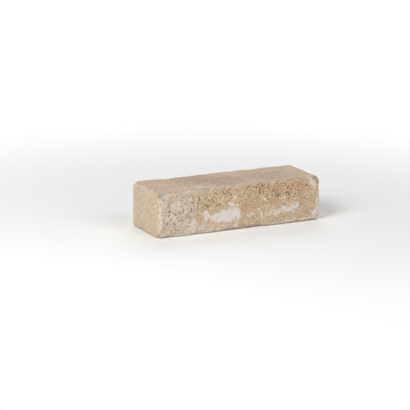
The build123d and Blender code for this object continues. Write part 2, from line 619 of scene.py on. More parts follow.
@dataclass
class TumbledBlock:
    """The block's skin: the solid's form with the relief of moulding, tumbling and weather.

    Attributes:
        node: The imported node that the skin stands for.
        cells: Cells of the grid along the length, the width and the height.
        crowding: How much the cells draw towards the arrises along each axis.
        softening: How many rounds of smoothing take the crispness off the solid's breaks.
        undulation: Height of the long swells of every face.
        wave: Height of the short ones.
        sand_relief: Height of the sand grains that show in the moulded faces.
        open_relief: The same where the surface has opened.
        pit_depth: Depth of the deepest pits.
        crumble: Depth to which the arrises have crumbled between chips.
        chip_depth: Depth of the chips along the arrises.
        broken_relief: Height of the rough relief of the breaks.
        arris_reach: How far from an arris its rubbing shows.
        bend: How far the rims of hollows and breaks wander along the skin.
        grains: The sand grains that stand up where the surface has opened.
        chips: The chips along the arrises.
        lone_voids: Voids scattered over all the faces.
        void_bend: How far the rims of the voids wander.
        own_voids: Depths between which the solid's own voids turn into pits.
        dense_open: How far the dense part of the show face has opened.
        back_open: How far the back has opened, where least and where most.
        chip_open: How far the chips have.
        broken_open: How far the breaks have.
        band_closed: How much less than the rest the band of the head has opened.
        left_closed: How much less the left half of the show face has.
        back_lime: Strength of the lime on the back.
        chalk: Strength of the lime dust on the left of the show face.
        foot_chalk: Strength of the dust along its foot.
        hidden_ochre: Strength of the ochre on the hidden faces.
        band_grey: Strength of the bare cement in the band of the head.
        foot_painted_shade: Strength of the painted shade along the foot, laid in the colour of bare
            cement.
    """

    node: str = "block"
    cells: tuple[int, int, int] = (344, 36, 91)
    crowding: Triple = (0.0, 0.6, 0.0)
    softening: int = 3
    undulation: float = 0.5 * MILLIMETRE
    wave: float = 0.35 * MILLIMETRE
    sand_relief: float = 0.15 * MILLIMETRE
    open_relief: float = 1.2 * MILLIMETRE
    pit_depth: float = 1.6 * MILLIMETRE
    crumble: float = 0.8 * MILLIMETRE
    chip_depth: float = 1.7 * MILLIMETRE
    broken_relief: float = 1.2 * MILLIMETRE
    arris_reach: float = 5.5 * MILLIMETRE
    bend: float = 1.0 * MILLIMETRE
    grains: Bowls = Bowls(spacing=0.0030, share=1.0, radii=(0.0017, 0.0031), seed=61)
    chips: Bowls = Bowls(spacing=0.017, share=0.5, radii=(0.003, 0.011), seed=4)
    lone_voids: Bowls = Bowls(spacing=0.020, share=0.6, radii=(0.0012, 0.0030), seed=91)
    void_bend: float = 1.2 * MILLIMETRE
    own_voids: tuple[float, float] = (0.0007, 0.0024)
    dense_open: float = 0.24
    back_open: tuple[float, float] = (0.20, 0.78)
    chip_open: float = 0.8
    broken_open: float = 0.7
    band_closed: float = 0.85
    left_closed: float = 0.20
    back_lime: float = 0.9
    chalk: float = 0.34
    foot_chalk: float = 0.08
    hidden_ochre: float = 0.8
    band_grey: float = 0.32
    foot_painted_shade: float = 0.22

    def build(self) -> bpy.types.Object:
        """Makes the skin and stores its masks.

        Returns:
            The finished object, which has no modifier left.
        """
        low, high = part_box(self.node)
        lattice = BoxLattice(low, high, self.cells, self.crowding)
        skin = self.drape_on_solid(*lattice.build())
        low, high = np.array(low), np.array(high)
        points = read_vectors(skin.data.vertices, "co")
        normals = read_vectors(skin.data.vertex_normals, "vector")
        aspect = Aspect.of(points, normals, low, high, self.arris_reach)
        masks = self.masks(points, aspect)
        moved = points + self.wandering(points, normals) - normals * self.loss(points, masks)[:, None]
        move_vertices(skin.data, np.clip(moved, low, high))
        for mask, values in masks.items():
            layer = skin.data.attributes.new(mask.value, "FLOAT", "POINT")
            layer.data.foreach_set("value", np.clip(values, 0.0, 1.0).astype(np.float32))
        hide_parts(self.node)
        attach(skin, "root")
        return skin

    def drape_on_solid(self, positions: Floats, quads: Whole) -> bpy.types.Object:
        """Lays the box's grid on the solid and softens the breaks.

        Each corner of the grid goes to the nearest point of the solid. Each round of smoothing
        then moves it halfway to the mean of its neighbours.

        Args:
            positions: Corners of the grid on the solid's bounding box.
            quads: The rows of each quad's four corners.

        Returns:
            The draped object.
        """
        grid = mesh_object("tumbled_block", positions, quads)
        wrap = grid.modifiers.new("lie_on_solid", "SHRINKWRAP")
        wrap.target = bpy.data.objects[self.node]
        wrap.wrap_method = "NEAREST_SURFACEPOINT"
        soften = grid.modifiers.new("soften", "SMOOTH")
        soften.factor, soften.iterations = 0.5, self.softening
        evaluated = grid.evaluated_get(bpy.context.evaluated_depsgraph_get())
        draped = read_vectors(evaluated.to_mesh().vertices, "co")
        evaluated.to_mesh_clear()
        grid.modifiers.clear()
        move_vertices(grid.data, draped)
        return grid

    def masks(self, points: Floats, aspect: Aspect) -> dict[Mask, Floats]:
        """Works out where each kind of surface shows.

        Chips sit in the arrises, and the surface is open in them and in the breaks. The head of
        the show face, and less so the upper arris of the left end, are rubbed less than the rest.

        Args:
            points: Places on the skin.
            aspect: The kind of face at each.

        Returns:
            The masks by name.
        """
        along, across, up = points.T
        head = ease(0.078, 0.090, up) * ease(-0.045, -0.055, across)
        brow = ease(-0.188, -0.196, along) * ease(0.085, 0.095, up)
        chips = ease(0.15, 0.65, aspect.rub) * self.chips.depth(points)
        chipped = ease(0.05, 0.5, chips)
        opening = np.max(
            [self.opening(points, aspect), self.chip_open * chipped, self.broken_open * aspect.broken],
            axis=0,
        )
        pits, crest = self.pits(points, opening, aspect.sunk)
        surface = {
            Mask.OPEN: opening,
            Mask.PIT: pits,
            Mask.CREST: crest,
            Mask.BROKEN: aspect.broken,
            Mask.RUB: aspect.rub * (1.0 - 0.7 * head) * (1.0 - 0.4 * brow),
            Mask.CHIP: chips,
            Mask.BED: aspect.bed,
            Mask.END: aspect.end,
        }
        return surface | self.stains(points, aspect, head)

    def stains(self, points: Floats, aspect: Aspect, head: Floats) -> dict[Mask, Floats]:
        """Works out where lime, bare cement, the pigments and painted shade show.

        Patches are read at places that swells have pushed about, with short ones along the
        length and tall ones up the height, which gives them ragged edges drawn out by water.
        The hidden faces have lime and ochre where swells pass a level. Bare cement shows too in
        the skin that the head of the show face has kept. A thin layer in the colour of bare cement
        along the foot of the show face is painted shade, and on the upper bed the ochre mask is
        partly painted shade of a block standing on it. The pigment of the show face gets warmer to
        the right and upwards.

        Args:
            points: Places on the skin.
            aspect: The kind of face at each.
            head: How far each place belongs to the head of the show face.

        Returns:
            The masks by name.
        """
        show, back = aspect.show, aspect.back
        along, _, up = points.T
        upright = points * np.array([1.0, 1.0, 0.3])
        push = np.zeros_like(points)
        push[:, 0] = 0.0030 * swell(points, 0.016, seed=31, octaves=3)
        push[:, 2] = 0.0030 * swell(points, 0.014, seed=32, octaves=3)
        push[:, 2] += 0.0040 * swell(upright, 0.006, seed=33, octaves=2)
        ragged = points + push
        drawn = ease(0.05, 0.55, swell(points * np.array([1.0, 1.0, 0.6]), 0.07, seed=41, octaves=3))
        clouds = ease(-0.1, 0.7, swell(points, 0.1, seed=43, octaves=2))
        foot = ease(0.020, 0.004, up)
        lime = [
            joint_cover(LIME_PATCHES, ragged),
            self.back_lime * back * drawn,
            self.lime_dust(points, aspect),
        ]
        hidden = back + 0.5 * aspect.end * ease(0.0, 0.1, along)
        # On the upper bed the ochre mask is partly painted shade
        ochre = [joint_cover(OCHRE_AND_BED_SHADE_PATCHES, ragged), self.hidden_ochre * hidden * clouds]
        grey = [
            joint_cover(GREY_PATCHES, ragged),
            self.band_grey * head * self.head_band(points),
            # Painted shade: a thin layer in the colour of bare cement darkens the foot of the show face
            self.foot_painted_shade * show * foot,
        ]
        warm = show * ease(-0.150, -0.040, along) * (0.55 + 0.45 * ease(0.02, 0.07, up))
        warm += 0.6 * back + 0.25 * (aspect.bed + aspect.end)
        return {
            Mask.LIME: np.max(lime, axis=0),
            Mask.OCHRE_AND_BED_SHADE: np.max(ochre, axis=0),
            Mask.GREY: np.max(grey, axis=0),
            Mask.WARM: warm + 0.25 * swell(points, 0.06, seed=51, octaves=3),
        }

    def head_band(self, points: Floats) -> Floats:
        """Works out the band along the head of the show face that has kept its cement skin.

        It runs from the left end and fades out at about the middle. Its lower edge lies some
        8 mm under the upper bed and wanders.

        Args:
            points: Places on the skin.

        Returns:
            How far each place belongs to it, from 0 to 1.
        """
        edge = points[:, 2] + 0.0025 * swell(points, 0.012, seed=24, octaves=2)
        return ease(0.0895, 0.0945, edge) * ease(0.010, -0.050, points[:, 0])

    def lime_dust(self, points: Floats, aspect: Aspect) -> Floats:
        """Works out the lime dust in clouds on the left quarter of the show face and along its foot.

        Args:
            points: Places on the skin.
            aspect: The kind of face at each.

        Returns:
            The dust's cover, from 0 to 1.
        """
        cloud = 0.5 + 0.5 * ease(-0.35, 0.30, swell(points, 0.022, seed=45, octaves=3))
        left = ease(-0.095, -0.135, points[:, 0])
        foot = ease(0.030, 0.006, points[:, 2])
        return aspect.show * np.maximum(self.chalk * cloud * left, self.foot_chalk * foot)

    def opening(self, points: Floats, aspect: Aspect) -> Floats:
        """Works out where the skin has gone and the sand shows.

        The show face is open above a line that runs up and down along it, less so in its rubbed
        arrises, in the band of its head, in the closer patches and on its left half. The back
        is open in swells, and the moulded faces not at all.

        Args:
            points: Places on the skin.
            aspect: The kind of face at each.

        Returns:
            How far the surface has opened, from 0 to 1.
        """
        along, _, up = points.T
        above = up - np.interp(along, DENSE_ALONG, DENSE_HEIGHT)
        above += 0.014 * swell(points, 0.030, seed=21, octaves=3)
        above += 0.008 * swell(points, 0.007, seed=22)
        # What the arrises have kept of their skin: most of it along the head on the left
        kept = 0.35 + ease(0.060, 0.085, up) * (0.75 * ease(0.03, -0.04, along) - 0.25)
        left = ease(0.030, -0.010, along)
        front = self.dense_open + (1.0 - self.dense_open) * ease(-0.018, 0.012, above)
        front *= 1.0 - kept * aspect.rub
        front *= 1.0 - self.band_closed * self.head_band(points)
        front *= 1.0 - joint_cover(CLOSER_PATCHES, points)
        front *= 1.0 - self.left_closed * left
        least, most = self.back_open
        back = least + (most - least) * ease(-0.30, 0.25, swell(points, 0.09, seed=23, octaves=3))
        back *= 1.0 - 0.5 * aspect.rub
        return np.clip(aspect.show * front + aspect.back * back, 0.0, 1.0)

    def pits(self, points: Floats, opening: Floats, sunk: Floats) -> tuple[Floats, Floats]:
        """Works out the grains that stand up from the opened surface, and the pits between them.

        Grains are domes scattered so closely that they overlap, somewhat taller than wide, as
        the mould was drawn. What none of them covers is a gap. A larger pit is where a swell
        passes a level, so its outline is ragged. The more the surface has opened, the lower
        the level. The slight voids, the lone ones and the solid's own are deep as well.

        Args:
            points: Places on the skin.
            opening: How far the surface has opened there.
            sunk: Depth in the solid's own voids.

        Returns:
            The depth of the pits and the height of the grains, each from 0 to 1.
        """
        upright = points * np.array([1.0, 1.0, 0.8])
        grains = self.grains.depth(upright)
        gaps = ease(0.22, 0.0, grains) * ease(0.25, 0.75, opening)
        level = 1.04 - 0.48 * opening
        wide = ease(level, level + 0.30, swell(upright, 0.0045, seed=62, octaves=2))
        level = 1.00 - 0.62 * opening
        narrow = ease(level, level + 0.25, swell(upright, 0.0026, seed=63))
        bend = np.stack([swell(points, 0.0040, seed=s) for s in (64, 65, 66)], axis=1)
        ragged = points + self.void_bend * bend
        slight = joint_cover(SLIGHT_VOIDS, ragged)
        lone = self.lone_voids.depth(ragged)
        own = ease(*self.own_voids, sunk + 0.0006 * swell(points, 0.0035, seed=68))
        pits = [0.22 * gaps, wide, 0.9 * narrow, slight, 0.6 * lone, 0.8 * own]
        return np.max(pits, axis=0), grains

    def wandering(self, points: Floats, normals: Floats) -> Floats:
        """Works out a small push along the skin, which makes rims ragged.

        Swells give a push along each axis, and the part of it along the normal is taken out.

        Args:
            points: Places on the skin.
            normals: Its outward normals there.

        Returns:
            The push at each place.
        """
        push = np.stack([swell(points, 0.0060, seed=s, octaves=2) for s in (71, 72, 73)], axis=1)
        push *= self.bend
        return push - normals * (push * normals).sum(axis=1)[:, None]

    def loss(self, points: Floats, masks: dict[Mask, Floats]) -> Floats:
        """Adds up how far the skin has gone back from the softened solid.

        It loses the swells of all faces, what lies between the grains, the pits, the crumbled
        arrises, the roughness of the breaks and the chips.

        Args:
            points: Places on the skin.
            masks: Its masks there.

        Returns:
            The depth lost at each place.
        """
        opening, rub = masks[Mask.OPEN], masks[Mask.RUB]
        stand = self.sand_relief + (self.open_relief - self.sand_relief) * opening
        depth = self.undulation * raised_swell(points, 0.110, seed=1, octaves=2)
        depth += self.wave * raised_swell(points, 0.016, seed=6, octaves=2)
        depth += stand * (1.0 - masks[Mask.CREST])
        depth += self.pit_depth * masks[Mask.PIT]
        depth += self.crumble * rub * raised_swell(points, 0.009, seed=3, octaves=3)
        depth += self.broken_relief * masks[Mask.BROKEN] * raised_swell(points, 0.0095, seed=5, octaves=3)
        return depth + self.chip_depth * masks[Mask.CHIP]


# Socket types of node groups, and the places of a mix node's colours among its sockets
NUMBER, VECTOR = "NodeSocketFloat", "NodeSocketVector"
MIX_FIRST, MIX_SECOND, MIX_RESULT = 6, 7, 2


class NodeDesk:
    """Adds shader nodes to a tree and links them."""

    def __init__(self, tree: bpy.types.NodeTree) -> None:
        """Takes the tree that the nodes go into."""
        self.tree = tree

    @classmethod
    def of(cls, owner: bpy.types.Material | bpy.types.World) -> NodeDesk:
        """Empties the node tree of a material or of the world.

        Args:
            owner: The material or the world.

        Returns:
            A desk for its tree.
        """
        owner.use_nodes = True
        owner.node_tree.nodes.clear()
        return cls(owner.node_tree)

    def add(self, kind: str, inputs: Feeds | None = None, **settings: object) -> bpy.types.Node:
        """Adds a node.

        Args:
            kind: The node's type.
            inputs: What each input takes, by its name or number: a socket that is linked to it,
                or a value.
            settings: The node's own settings.

        Returns:
            The node.
        """
        node = self.tree.nodes.new(kind)
        for name, value in settings.items():
            setattr(node, name, value)
        for name, source in (inputs or {}).items():
            if isinstance(source, Socket):
                self.tree.links.new(source, node.inputs[name])
            else:
                node.inputs[name].default_value = source
        return node

    def math(self, operation: str, first: object, second: object) -> Socket:
        """Adds a math node on two values and gives its result."""
        return self.add("ShaderNodeMath", {0: first, 1: second}, operation=operation).outputs[0]

    def vector(self, operation: str, inputs: Feeds) -> Socket:
        """Adds a vector math node and gives the vector that it makes."""
        return self.add("ShaderNodeVectorMath", inputs, operation=operation).outputs["Vector"]

    def product(self, *factors: object) -> Socket:
        """Multiplies all the factors.

        Args:
            factors: Sockets or values.

        Returns:
            The product.
        """
        result = factors[0]
        for factor in factors[1:]:
            result = self.math("MULTIPLY", result, factor)
        return result

    def between(self, low: float, high: float, factor: Socket) -> Socket:
        """Goes straight from low to high as the factor goes from 0 to 1."""
        return self.math("ADD", self.product(factor, high - low), low)

    def mix(self, factor: object, first: object, second: object, blend: str = "MIX") -> Socket:
        """Mixes two colours.

        Args:
            factor: How far the second one shows, from 0 to 1.
            first: The colour at a factor of 0.
            second: The colour at a factor of 1.
            blend: How the second colour is blended with the first.

        Returns:
            The mixed colour.
        """
        inputs = {0: factor, MIX_FIRST: first, MIX_SECOND: second}
        node = self.add("ShaderNodeMix", inputs, data_type="RGBA", blend_type=blend)
        return node.outputs[MIX_RESULT]

    def lay(self, under: Socket, over: object, *factors: object) -> Socket:
        """Lays a colour over another, as far as the product of masks and a largest share says."""
        return self.mix(self.product(*factors), under, over)

    def window(self, value: object, low: object, high: object) -> Socket:
        """Adds a smooth step from 0 at low to 1 at high and gives its result."""
        inputs = {"Value": value, "From Min": low, "From Max": high}
        return self.add("ShaderNodeMapRange", inputs, interpolation_type="SMOOTHSTEP").outputs["Result"]

    def noise(self, place: object, scale: object, detail: float = 2.0, rough: float = 0.5) -> Socket:
        """Adds fractal noise at a place, with scale cells to the metre, and gives its value."""
        inputs = {"Vector": place, "Scale": scale, "Detail": detail, "Roughness": rough}
        return self.add("ShaderNodeTexNoise", inputs).outputs["Fac"]

    def cells(self, place: object, scale: object) -> tuple[Socket, ...]:
        """Cuts space into cells about scattered middles, with scale cells to the metre.

        Args:
            place: Where the cells are read.
            scale: Cells to the metre.

        Returns:
            The distance from the middle in cells, and three random numbers of the cell.
        """
        node = self.add("ShaderNodeTexVoronoi", {"Vector": place, "Scale": scale}, feature="F1")
        random = self.add("ShaderNodeSeparateColor", {"Color": node.outputs["Color"]})
        return (node.outputs["Distance"], *random.outputs)

    def attribute(self, mask: Mask) -> Socket:
        """Adds a reader of one of the mesh's masks and gives its value."""
        return self.add("ShaderNodeAttribute", attribute_name=mask.value).outputs["Fac"]

    def group(self, tree: bpy.types.NodeTree, **inputs: object) -> bpy.types.Node:
        """Places a node group and feeds its inputs by name."""
        return self.add("ShaderNodeGroup", inputs, node_tree=tree)


def new_group(
    name: str, inputs: dict[str, str], outputs: dict[str, str]
) -> tuple[NodeDesk, dict[str, Socket]]:
    """Starts a shader node group.

    Args:
        name: The group's name.
        inputs: Type of each input socket by name.
        outputs: Type of each output socket by name.

    Returns:
        A desk for the group's tree, and what the group is given by the name of each input.
    """
    tree = bpy.data.node_groups.new(name, "ShaderNodeTree")
    for direction, sockets in (("INPUT", inputs), ("OUTPUT", outputs)):
        for socket, kind in sockets.items():
            tree.interface.new_socket(name=socket, in_out=direction, socket_type=kind)
    desk = NodeDesk(tree)
    given = desk.add("NodeGroupInput")
    return desk, {socket: given.outputs[socket] for socket in inputs}


def ragged_mask_group() -> bpy.types.NodeTree:
    """Makes the group that gives a soft mask a ragged edge.

    Noise of two sizes times the raggedness is added to the mask, and a smooth step about one
    half, as wide as the softness, cuts it off.

    Returns:
        The group: Place, Mask, Scale, Raggedness and Softness in, Mask out.
    """
    numbers = dict.fromkeys(("Mask", "Scale", "Raggedness", "Softness"), NUMBER)
    desk, given = new_group("ragged_mask", {"Place": VECTOR, **numbers}, {"Mask": NUMBER})
    coarse = desk.noise(given["Place"], given["Scale"], 4.0, 0.65)
    fine = desk.noise(given["Place"], desk.product(given["Scale"], 4.3), 3.0, 0.65)
    both = desk.math("SUBTRACT", desk.math("ADD", coarse, fine), 1.0)
    shifted = desk.math("ADD", given["Mask"], desk.product(both, given["Raggedness"]))
    half = desk.product(given["Softness"], 0.5)
    low, high = desk.math("SUBTRACT", 0.5, half), desk.math("ADD", 0.5, half)
    desk.add("NodeGroupOutput", {"Mask": desk.window(shifted, low, high)})
    return desk.tree


def sand_grain_group() -> bpy.types.NodeTree:
    """Makes the group that shows the sand in the concrete.

    Space is cut into cells of one grain each. Each has a random tone, the palest and the
    darkest few are masks of their own, and the distance from its middle gives its relief.

    Returns:
        The group: Place and Scale in, Tone, Pale, Dark and Height out.
    """
    outputs = dict.fromkeys(("Tone", "Pale", "Dark", "Height"), NUMBER)
    desk, given = new_group("sand_grain", {"Place": VECTOR, "Scale": NUMBER}, outputs)
    distance, first, second, tone = desk.cells(given["Place"], given["Scale"])
    near = desk.window(distance, 0.62, 0.12)
    pale = desk.product(desk.math("GREATER_THAN", first, 0.90), near)
    dark = desk.product(desk.math("GREATER_THAN", second, 0.93), near)
    desk.add("NodeGroupOutput", {"Tone": tone, "Pale": pale, "Dark": dark, "Height": near})
    return desk.tree


def pinhole_group() -> bpy.types.NodeTree:
    """Makes the group that scatters small ragged holes, too small for the mesh.

    Space, bent by noise, is cut into cells. A share of them hold a hole about the middle, of a
    size in cells that differs from one to the next.

    Returns:
        The group: Place, Scale, Share and Size in, Mask out.
    """
    numbers = dict.fromkeys(("Scale", "Share", "Size"), NUMBER)
    desk, given = new_group("pinholes", {"Place": VECTOR, **numbers}, {"Mask": NUMBER})
    waves = {"Vector": given["Place"], "Scale": desk.product(given["Scale"], 1.6)}
    bend = desk.add("ShaderNodeTexNoise", waves).outputs["Color"]
    centred = desk.vector("SUBTRACT", {0: bend, 1: (0.5, 0.5, 0.5)})
    reach = desk.math("DIVIDE", 1.1, given["Scale"])
    pushed = desk.vector("SCALE", {0: centred, "Scale": reach})
    place = desk.vector("ADD", {0: given["Place"], 1: pushed})
    distance, chance, growth, _ = desk.cells(place, given["Scale"])
    held = desk.math("LESS_THAN", chance, given["Share"])
    radius = desk.product(given["Size"], desk.between(0.4, 1.0, growth))
    hole = desk.window(distance, radius, desk.product(radius, 0.4))
    desk.add("NodeGroupOutput", {"Mask": desk.product(held, hole)})
    return desk.tree


# Cells to the metre, raggedness and softness of the edge that the finish gives each mask
EDGES = {
    Mask.WARM: (34.0, 1.8, 1.3),
    Mask.OCHRE_AND_BED_SHADE: (80.0, 2.2, 1.2),
    Mask.BROKEN: (170.0, 1.6, 0.8),
    Mask.RUB: (110.0, 1.8, 0.9),
    Mask.GREY: (150.0, 1.6, 0.9),
    Mask.LIME: (130.0, 2.4, 1.0),
}


@dataclass(frozen=True)
class Ground:
    """What the layers of the concrete's finish share.

    Attributes:
        desk: The material's desk.
        place: Object coordinates.
        ragged: The group that gives a mask a ragged edge.
        grain: The sand grains.
        opened: How far the surface has opened.
        holes: The pinholes.
    """

    desk: NodeDesk
    place: Socket
    ragged: bpy.types.NodeTree
    grain: bpy.types.Node
    opened: Socket
    holes: Socket

    def edged(self, mask: Mask) -> Socket:
        """Reads a mask and gives it the ragged edge that the table EDGES has for it.

        Args:
            mask: The mask.

        Returns:
            The mask with its edge.
        """
        scale, raggedness, softness = EDGES[mask]
        inputs = {"Place": self.place, "Mask": self.desk.attribute(mask), "Scale": scale}
        node = self.desk.group(self.ragged, **inputs, Raggedness=raggedness, Softness=softness)
        return node.outputs["Mask"]

    def drawn(self, stretch: Triple, scale: float) -> Socket:
        """Gives noise that is drawn out along an axis, as a smooth step about its middle.

        Args:
            stretch: What each coordinate is multiplied by, small where the noise is long.
            scale: Cells to the metre across the noise.

        Returns:
            The noise, from 0 to 1.
        """
        mapping = self.desk.add("ShaderNodeMapping", {"Vector": self.place, "Scale": stretch})
        noise = self.desk.noise(mapping.outputs["Vector"], scale, 5.0, 0.62)
        return self.desk.window(noise, 0.34, 0.66)


@dataclass(frozen=True)
class ConcreteFinish:
    """The finish of pigmented concrete made with sand, tumbled and weathered.

    Attributes:
        cream: Colour of the paler part of the show face.
        sand: Colour of its warmer part.
        ochre: Colour of the ochre clouds.
        skin: Colour of the skin where the show face has stayed dense.
        bed: Colour of the two beds, which carry cement skin.
        end: Colour of the two ends, which the mould left smooth.
        rubbed: Pale dust colour of the rubbed arrises, also laid on the crests of the grains as a painted
            highlight.
        lime: Colour of the lime bloom.
        grey: Colour of bare cement, also used for the painted shade along the foot of the show face.
        bed_stain_and_shade: Colour of the brown stains on the beds, partly painted shade of a block
            standing on the upper bed.
        peach: Colour of the faint stains on the ends.
        pit_dark_and_shade: Colour deep in the pits, partly their darker material and partly painted
            shade.
        dark_grain: Colour of the darkest grains of sand.
        grain_shade: What the darkest tone of a grain is overlaid with.
        grain_light: What the palest tone is overlaid with.
        roughness: Roughness of the dry surface.
        grain_scale: Sand grains to the metre.
        specular: Strength of its highlights.
        fine_holes: Scale, share and size of the pinholes between the grains.
        small_holes: The same of the small ones in the faces.
        wide_holes: The same of the wide ones.
        relief: Height of the finest relief.
        relief_strength: How much of it shows.
        bloom_cover: How far the lime bloom covers what is under it at most.
        grey_cover: The same of the bare cement and of the painted shade along the foot.
        rub_cover: The same of the dust on the arrises.
        ochre_cover: The same of the ochre clouds.
        face_cover: The same of the colours of the beds and of the ends.
    """

    cream: Colour = screen_colour(205, 187, 162)
    sand: Colour = screen_colour(202, 174, 138)
    ochre: Colour = screen_colour(194, 151, 104)
    skin: Colour = screen_colour(184, 158, 129)
    bed: Colour = screen_colour(182, 164, 142)
    end: Colour = screen_colour(205, 187, 161)
    rubbed: Colour = screen_colour(217, 204, 186)
    lime: Colour = screen_colour(226, 220, 214)
    grey: Colour = screen_colour(146, 140, 133)
    bed_stain_and_shade: Colour = screen_colour(130, 117, 103)
    peach: Colour = screen_colour(208, 176, 142)
    pit_dark_and_shade: Colour = screen_colour(130, 95, 63)
    dark_grain: Colour = screen_colour(132, 112, 92)
    grain_shade: Colour = (0.30, 0.27, 0.24, 1.0)
    grain_light: Colour = (0.78, 0.76, 0.73, 1.0)
    roughness: float = 0.92
    grain_scale: float = 480.0
    specular: float = 0.25
    fine_holes: Triple = (300.0, 0.60, 0.42)
    small_holes: Triple = (190.0, 0.55, 0.20)
    wide_holes: Triple = (150.0, 0.62, 0.25)
    relief: float = 0.4 * MILLIMETRE
    relief_strength: float = 0.9
    bloom_cover: float = 0.93
    grey_cover: float = 0.86
    rub_cover: float = 0.75
    ochre_cover: float = 0.82
    face_cover: float = 0.9

    def material(self) -> bpy.types.Material:
        """Builds the node material.

        Returns:
            The material, which reads the masks of the block's mesh.
        """
        material = bpy.data.materials.new("tumbled_concrete")
        ground = self.ground(NodeDesk.of(material))
        colour = self.pigment(ground)
        for layer in (self.faces, self.grains, self.wear, self.hollows):
            colour = layer(ground, colour)
        inputs = {
            "Base Color": colour,
            "Roughness": self.roughness,
            "Specular IOR Level": self.specular,
            "Normal": self.fine_relief(ground),
        }
        surface = ground.desk.add("ShaderNodeBsdfPrincipled", inputs)
        ground.desk.add("ShaderNodeOutputMaterial", {"Surface": surface.outputs["BSDF"]})
        return material

    def ground(self, desk: NodeDesk) -> Ground:
        """Builds what the layers share.

        The holes between the grains show where the surface has opened, and the other two kinds
        show everywhere, but fewer where it is whole.

        Args:
            desk: The material's desk.

        Returns:
            The shared sockets and groups.
        """
        place = desk.add("ShaderNodeTexCoord").outputs["Object"]
        opened = desk.attribute(Mask.OPEN)
        pinholes = pinhole_group()
        fine, small, wide = (
            desk.group(pinholes, Place=place, Scale=scale, Share=share, Size=size).outputs["Mask"]
            for scale, share, size in (self.fine_holes, self.small_holes, self.wide_holes)
        )
        shown = desk.between(0.28, 1.0, desk.window(opened, 0.0, 0.22))
        fine = desk.product(fine, desk.window(opened, 0.0, 0.7))
        small = desk.product(small, desk.between(0.45, 1.0, shown))
        faces = desk.math("MAXIMUM", small, desk.product(wide, shown))
        return Ground(
            desk=desk,
            place=place,
            ragged=ragged_mask_group(),
            grain=desk.group(sand_grain_group(), Place=place, Scale=self.grain_scale),
            opened=opened,
            holes=desk.math("MAXIMUM", fine, faces),
        )

    def pigment(self, ground: Ground) -> Socket:
        """Mixes the cream, the sand and the ochre of the show face and the back.

        Args:
            ground: What the layers share.

        Returns:
            The colour.
        """
        desk = ground.desk
        colour = desk.mix(ground.edged(Mask.WARM), self.cream, self.sand)
        colour = desk.lay(colour, self.ochre, ground.edged(Mask.OCHRE_AND_BED_SHADE), self.ochre_cover)
        dense = desk.window(ground.opened, 0.70, 0.20)
        return desk.lay(colour, self.skin, dense, 0.38)

    def faces(self, ground: Ground, colour: Socket) -> Socket:
        """Lays the colours of the beds and the ends over the pigment.

        The beds have streaks, dust, stains and scuffs along their length, and the brown stains
        of the ochre mask, which on the upper bed are partly painted shade of a block standing on
        it. The ends have faint stains and dust drawn up their height.

        Args:
            ground: What the layers share.
            colour: The colour below.

        Returns:
            The colour with this layer.
        """
        desk = ground.desk
        streak = ground.drawn((0.14, 1.0, 1.0), 110.0)
        shade = desk.mix(desk.product(streak, 0.55), self.bed, colour)
        shade = desk.lay(shade, self.rubbed, ground.drawn((0.5, 1.0, 1.0), 38.0), 0.38)
        shade = desk.lay(shade, self.ochre, ground.drawn((0.6, 1.0, 1.0), 16.0), streak, 0.35)
        # Brown stains, partly painted shade of a block standing on the upper bed
        shade = desk.lay(shade, self.bed_stain_and_shade, desk.attribute(Mask.OCHRE_AND_BED_SHADE), 0.5)
        scuff = desk.window(desk.noise(ground.place, 75.0, 6.0, 0.75), 0.60, 0.74)
        shade = desk.lay(shade, self.rubbed, scuff, 0.45)
        colour = desk.lay(colour, shade, desk.attribute(Mask.BED), self.face_cover)
        stain = desk.product(ground.drawn((1.0, 1.0, 0.22), 95.0), ground.drawn((1.0, 1.0, 0.7), 30.0))
        tone = desk.mix(desk.product(stain, 0.75), self.end, self.peach)
        tone = desk.lay(tone, self.rubbed, ground.drawn((1.0, 1.0, 0.5), 52.0), 0.30)
        return desk.lay(colour, tone, desk.attribute(Mask.END), self.face_cover)

    def grains(self, ground: Ground, colour: Socket) -> Socket:
        """Shows the tone of each grain of sand, with a few pale and dark ones, and of the lumps.

        A lump is where noise is far from its middle: dark where it is low and pale where high. The crests
        of the grains get a painted highlight where the surface has opened.

        Args:
            ground: What the layers share.
            colour: The colour below.

        Returns:
            The colour with this layer.
        """
        desk, opened, grain = ground.desk, ground.opened, ground.grain.outputs
        shown = desk.between(0.55, 1.0, desk.window(opened, 0.0, 0.5))
        light = desk.mix(grain["Tone"], self.grain_shade, self.grain_light)
        colour = desk.mix(desk.product(shown, 0.62), colour, light, "OVERLAY")
        colour = desk.lay(colour, self.lime, grain["Pale"], shown, 0.6)
        colour = desk.lay(colour, self.dark_grain, grain["Dark"], shown, 0.65)
        # Painted highlight on the crests of the grains
        crest = desk.window(desk.attribute(Mask.CREST), 0.45, 0.95)
        colour = desk.lay(colour, self.rubbed, crest, opened, 0.22)
        some = desk.between(0.56, 1.02, desk.window(opened, 0.0, 0.26))
        lump = desk.noise(ground.place, 450.0, 2.0, 0.6)
        colour = desk.lay(colour, self.pit_dark_and_shade, desk.window(lump, 0.44, 0.35), some, 0.84)
        return desk.lay(colour, self.rubbed, desk.window(lump, 0.53, 0.64), some, 0.76)

    def wear(self, ground: Ground, colour: Socket) -> Socket:
        """Adds the breaks, the rubbed arrises, the bare cement with the painted shade along the foot, and
        the lime bloom.

        The dust of the arrises stops where an end begins.

        Args:
            ground: What the layers share.
            colour: The colour below.

        Returns:
            The colour with this layer.
        """
        desk = ground.desk
        colour = desk.lay(colour, self.sand, ground.edged(Mask.BROKEN), 0.45)
        beside_end = desk.window(desk.attribute(Mask.END), 0.5, 0.0)
        colour = desk.lay(colour, self.rubbed, ground.edged(Mask.RUB), beside_end, self.rub_cover)
        # Bare cement, and painted shade along the foot of the show face
        colour = desk.lay(colour, self.grey, ground.edged(Mask.GREY), self.grey_cover)
        return desk.lay(colour, self.lime, ground.edged(Mask.LIME), self.bloom_cover)

